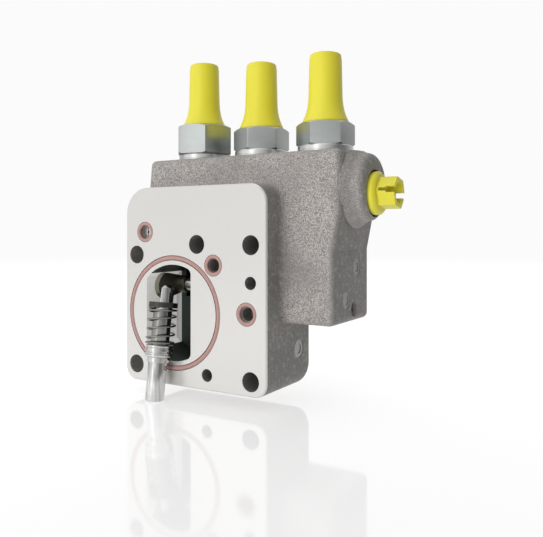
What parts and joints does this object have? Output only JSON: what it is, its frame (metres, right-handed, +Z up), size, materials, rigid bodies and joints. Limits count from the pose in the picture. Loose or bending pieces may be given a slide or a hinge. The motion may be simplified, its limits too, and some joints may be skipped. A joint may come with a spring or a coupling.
{
  "type": "pump control valve",
  "caption": "Hydraulic pump control valve with a ground mounting face, spring adjusters under yellow caps and a hanging feedback pin on a lever.",
  "frame": {"origin": "centre of the large seal ring, in the plane of the mounting face", "axes": "+X to the right along the row of adjusters, +Y into the body away from the pump, +Z up along the adjusters"},
  "size_m": [0.1329, 0.0663, 0.1686],
  "materials": {
    "casting": "fine sand-cast, ground mounting face",
    "seal_rubber": "matt brown seal rubber",
    "black_rubber": "matt black seal rubber",
    "bright_steel": "bright turned",
    "ground_steel": "ground and polished",
    "dark_steel": "blackened",
    "spring_steel": "drawn wire",
    "zinc_steel": "zinc plated",
    "yellow_plastic": "glossy yellow protective plastic"
  },
  "bodies": {
    "housing": {"housing": "casting", "face_seal_ring": "seal_rubber", "port_seal_rings": "seal_rubber", "restrictor": "bright_steel", "expander_plugs": "zinc_steel", "lever_pivot": "bright_steel", "pivot_spacer": "bright_steel", "left_adjuster_plug": "zinc_steel", "middle_adjuster_plug": "zinc_steel", "right_adjuster_plug": "zinc_steel", "left_plug_seal": "bright_steel", "middle_plug_seal": "bright_steel", "right_plug_seal": "bright_steel"},
    "lever": {"lever": "dark_steel"},
    "feedback_pin": {"feedback_pin": "ground_steel", "pin_axle": "bright_steel", "pin_washer": "dark_steel", "snap_ring": "dark_steel", "feedback_spring": "spring_steel"},
    "feedback_sleeve": {"feedback_sleeve": "ground_steel"},
    "port_plug_seal": {"port_plug_seal": "black_rubber"},
    "port_plug": {"port_plug": "yellow_plastic"},
    "left_spool": {"left_spool": "ground_steel", "left_spring": "spring_steel"},
    "left_spring_seat": {"left_spring_seat": "dark_steel"},
    "left_spindle": {"left_spindle": "zinc_steel"},
    "left_lock_nut": {"left_lock_nut": "zinc_steel"},
    "left_cap": {"left_cap": "yellow_plastic"},
    "middle_spool": {"middle_spool": "ground_steel", "middle_spring": "spring_steel"},
    "middle_spring_seat": {"middle_spring_seat": "dark_steel"},
    "middle_spindle": {"middle_spindle": "zinc_steel"},
    "middle_lock_nut": {"middle_lock_nut": "zinc_steel"},
    "middle_cap": {"middle_cap": "yellow_plastic"},
    "right_spool": {"right_spool": "ground_steel", "right_spring": "spring_steel"},
    "right_spring_seat": {"right_spring_seat": "dark_steel"},
    "right_spindle": {"right_spindle": "zinc_steel"},
    "right_lock_nut": {"right_lock_nut": "zinc_steel"},
    "right_cap": {"right_cap": "yellow_plastic"}
  },
  "joints": [
    {"name": "lever_tilt", "type": "hinge", "parent": "housing", "child": "lever", "pos_m": [-0.0044, 0.01, 0.0133], "axis": [-1, 0, 0], "range_deg": [0, 2.2]},
    {"name": "feedback_pin_swing", "type": "hinge", "parent": "lever", "child": "feedback_pin", "pos_m": [-0.0044, -0.00087, 0.01092], "axis": [-1, 0, 0], "range_deg": [0, 90]},
    {"name": "feedback_sleeve_slide", "type": "slide", "parent": "feedback_pin", "child": "feedback_sleeve", "axis": [0, 0.1464, 0.9892], "range_m": [0, 0.008], "stiffness_N_per_m": 800, "springref_m": -0.002, "deforming": ["feedback_spring"]},
    {"name": "port_plug_withdraw", "type": "slide", "parent": "housing", "child": "port_plug_seal", "axis": [1, 0, 0], "range_m": [0, 0.012]},
    {"name": "port_plug_turn", "type": "hinge", "parent": "port_plug_seal", "child": "port_plug", "pos_m": [0.0907, 0.032, 0.0566], "axis": [1, 0, 0], "range_deg": [0, 2880]},
    {"name": "left_spool_slide", "type": "slide", "parent": "housing", "child": "left_spool", "axis": [0, 0, -1], "range_m": [0, 0.00084], "stiffness_N_per_m": 2500, "springref_m": -0.0005, "deforming": ["left_spring"]},
    {"name": "left_spring_seat_slide", "type": "slide", "parent": "housing", "child": "left_spring_seat", "axis": [0, 0, 1], "range_m": [-0.002, 0.002], "stiffness_N_per_m": 3000, "deforming": ["left_spring"]},
    {"name": "left_spindle_turn", "type": "hinge", "parent": "left_spring_seat", "child": "left_spindle", "pos_m": [-0.0052, 0.032, 0.075], "axis": [0, 0, 1], "range_deg": [-725, 725]},
    {"name": "left_lock_nut_turn", "type": "hinge", "parent": "housing", "child": "left_lock_nut", "pos_m": [-0.0052, 0.032, 0.0944], "axis": [0, 0, 1], "range_deg": [0, 360]},
    {"name": "left_cap_pull", "type": "slide", "parent": "housing", "child": "left_cap", "axis": [0, 0, 1], "range_m": [0, 0.035]},
    {"name": "middle_spool_slide", "type": "slide", "parent": "housing", "child": "middle_spool", "axis": [0, 0, 1], "range_m": [0, 0.002], "stiffness_N_per_m": 3000, "springref_m": -0.004, "deforming": ["middle_spring"]},
    {"name": "middle_spring_seat_slide", "type": "slide", "parent": "housing", "child": "middle_spring_seat", "axis": [0, 0, 1], "range_m": [-0.002, 0.002], "stiffness_N_per_m": 3000, "deforming": ["middle_spring"]},
    {"name": "middle_spindle_turn", "type": "hinge", "parent": "middle_spring_seat", "child": "middle_spindle", "pos_m": [0.0304, 0.032, 0.075], "axis": [0, 0, 1], "range_deg": [-725, 725]},
    {"name": "middle_lock_nut_turn", "type": "hinge", "parent": "housing", "child": "middle_lock_nut", "pos_m": [0.0304, 0.032, 0.0903], "axis": [0, 0, 1], "range_deg": [0, 360]},
    {"name": "middle_cap_pull", "type": "slide", "parent": "housing", "child": "middle_cap", "axis": [0, 0, 1], "range_m": [0, 0.035]},
    {"name": "right_spool_slide", "type": "slide", "parent": "housing", "child": "right_spool", "axis": [0, 0, 1], "range_m": [0, 0.002], "stiffness_N_per_m": 3000, "springref_m": -0.004, "deforming": ["right_spring"]},
    {"name": "right_spring_seat_slide", "type": "slide", "parent": "housing", "child": "right_spring_seat", "axis": [0, 0, 1], "range_m": [-0.002, 0.002], "stiffness_N_per_m": 3000, "deforming": ["right_spring"]},
    {"name": "right_spindle_turn", "type": "hinge", "parent": "right_spring_seat", "child": "right_spindle", "pos_m": [0.066, 0.032, 0.075], "axis": [0, 0, 1], "range_deg": [-725, 725]},
    {"name": "right_lock_nut_turn", "type": "hinge", "parent": "housing", "child": "right_lock_nut", "pos_m": [0.066, 0.032, 0.0903], "axis": [0, 0, 1], "range_deg": [0, 360]},
    {"name": "right_cap_pull", "type": "slide", "parent": "housing", "child": "right_cap", "axis": [0, 0, 1], "range_m": [0, 0.035]}
  ],
  "couplings": [
    {"joint": "lever_tilt", "follows": "left_spool_slide", "rad_per_m": 45.455},
    {"joint": "port_plug_withdraw", "follows": "port_plug_turn", "m_per_rad": 0.00023873},
    {"joint": "left_spindle_turn", "follows": "left_spring_seat_slide", "rad_per_m": 6283.2},
    {"joint": "middle_spindle_turn", "follows": "middle_spring_seat_slide", "rad_per_m": 6283.2},
    {"joint": "right_spindle_turn", "follows": "right_spring_seat_slide", "rad_per_m": 6283.2}
  ]
}
